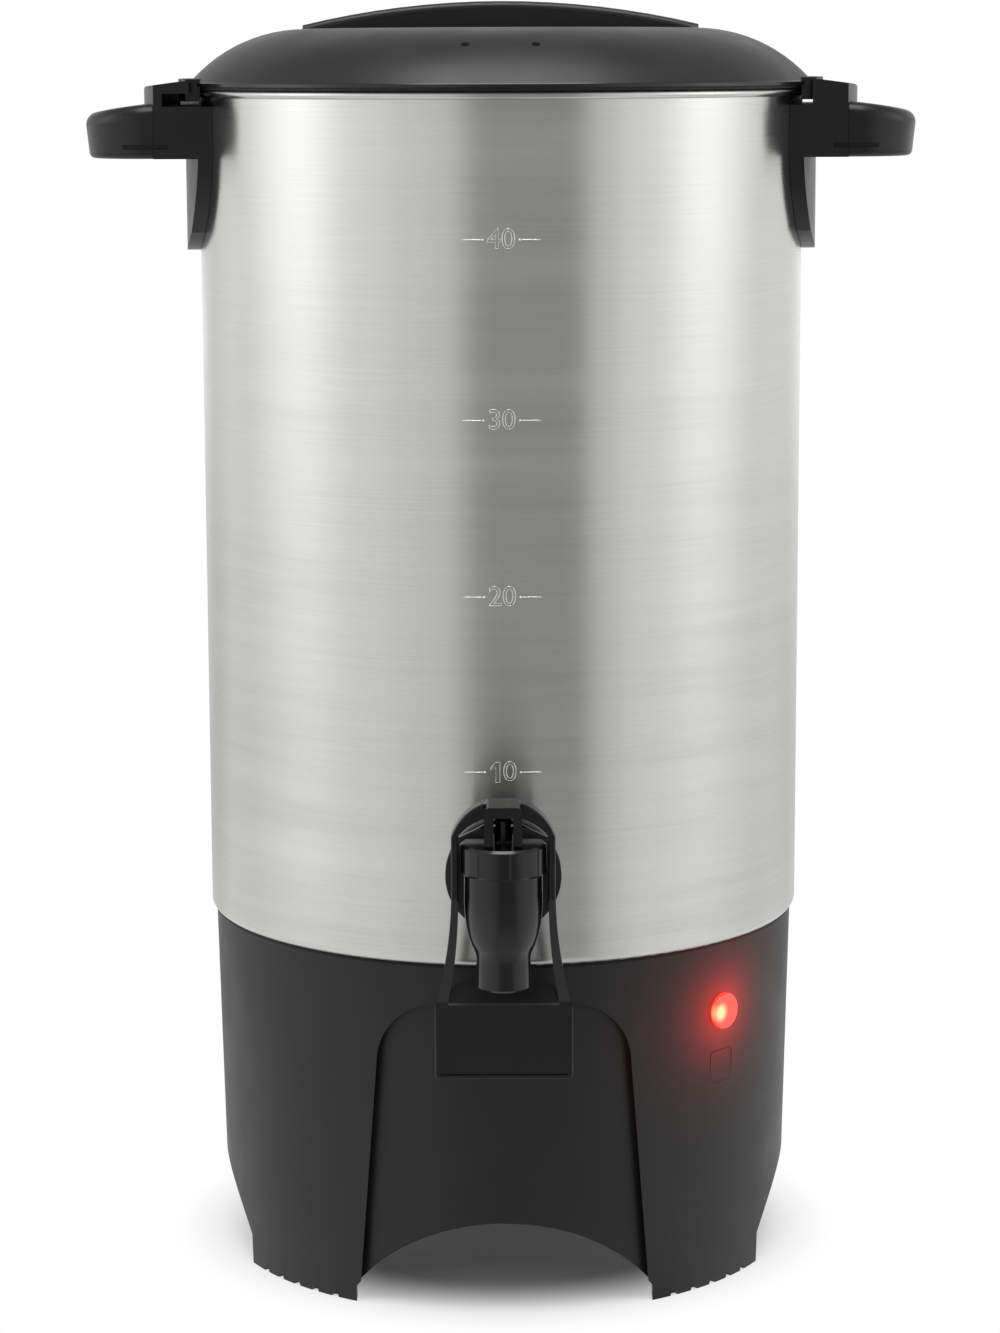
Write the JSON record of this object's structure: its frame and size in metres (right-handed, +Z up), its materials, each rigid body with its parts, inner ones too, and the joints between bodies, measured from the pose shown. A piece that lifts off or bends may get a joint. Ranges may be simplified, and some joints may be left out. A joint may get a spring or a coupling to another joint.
{
  "type": "coffee urn",
  "caption": "Percolator coffee urn with a stainless tank, black base, twist-lock lid, side handles and a push-lever tap.",
  "frame": {"origin": "on the counter, on the tank's axis, midway between the four feet", "axes": "+Z up, the tap towards -Y, +X to the right seen from the front"},
  "size_m": [0.2584, 0.2355, 0.3989],
  "materials": {
    "stainless_wall": "satin",
    "stainless_floor": "satin",
    "black_plastic": "matte",
    "lid_plastic": "matte",
    "tap_plastic": "matte",
    "black_rubber": "matte",
    "clear_silicone": "satin",
    "zinc_steel": "satin",
    "aluminium": "satin",
    "heater_sheath": "matte",
    "brass_fitting": "satin",
    "white_ceramic": "satin",
    "block_plastic": "matte",
    "wire_sleeve": "matte",
    "red_lens": "gloss",
    "neon_glass": "gloss"
  },
  "bodies": {
    "urn": {"tank_shell": "stainless_wall", "tank_floor": "stainless_floor", "base_skirt": "black_plastic", "base_cover": "black_plastic", "cover_screws": "zinc_steel", "base_strap": "zinc_steel", "handle_left": "black_plastic", "handle_right": "black_plastic", "handle_screws": "zinc_steel", "handle_washers": "zinc_steel", "tap_body": "tap_plastic", "tap_collar": "tap_plastic", "tap_gasket_outer": "black_rubber", "tap_gasket_inner": "clear_silicone", "tap_nut": "brass_fitting", "heat_plate": "aluminium", "boil_heater": "heater_sheath", "warm_heater": "heater_sheath", "heater_clamp": "zinc_steel", "clamp_stud": "zinc_steel", "clamp_nuts": "zinc_steel", "thermostat": "white_ceramic", "thermostat_bracket": "zinc_steel", "thermal_fuse": "zinc_steel", "fuse_clip": "zinc_steel", "terminal_block": "block_plastic", "lead_wires": "wire_sleeve", "lamp_lens": "red_lens", "neon_lamp": "neon_glass", "lamp_retainer": "zinc_steel", "cord_gland": "black_plastic", "gland_nut": "black_plastic"},
    "pump": {"pump_stem": "aluminium"},
    "valve": {"pump_valve": "zinc_steel"},
    "basket": {"coffee_basket": "aluminium"},
    "spreader": {"basket_cover": "aluminium"},
    "seal": {"lid_seal": "black_rubber"},
    "cover": {"lid": "lid_plastic"},
    "stem": {"tap_stem": "tap_plastic", "seat_cup": "clear_silicone", "tap_spring": "zinc_steel", "lever_pin": "zinc_steel"},
    "lever": {"tap_lever": "tap_plastic"}
  },
  "joints": [
    {"name": "pump_lift", "type": "slide", "parent": "urn", "child": "pump", "axis": [0, 0, 1], "range_m": [0, 0.27]},
    {"name": "valve_rise", "type": "slide", "parent": "pump", "child": "valve", "axis": [0, 0, 1], "range_m": [0, 0.002]},
    {"name": "basket_lift", "type": "slide", "parent": "pump", "child": "basket", "axis": [0, 0, 1], "range_m": [0, 0.1]},
    {"name": "spreader_lift", "type": "slide", "parent": "basket", "child": "spreader", "axis": [0, 0, 1], "range_m": [0, 0.05]},
    {"name": "lid_lift", "type": "slide", "parent": "spreader", "child": "seal", "axis": [0, 0, 1], "range_m": [0, 0.12]},
    {"name": "lid_twist", "type": "hinge", "parent": "seal", "child": "cover", "pos_m": [0, 0, 0.372], "axis": [0, 0, 1], "range_deg": [0, 14]},
    {"name": "stem_rise", "type": "slide", "parent": "urn", "child": "stem", "axis": [0, 0, 1], "range_m": [0, 0.0022], "deforming": ["tap_spring"]},
    {"name": "lever_push", "type": "hinge", "parent": "stem", "child": "lever", "pos_m": [0, -0.125, 0.1615], "axis": [1, 0, 0], "range_deg": [0, 16], "stiffness_Nm_per_rad": 0.3, "springref_deg": -8.02}
  ],
  "couplings": [
    {"joint": "stem_rise", "follows": "lever_push", "m_per_rad": 0.00752}
  ]
}
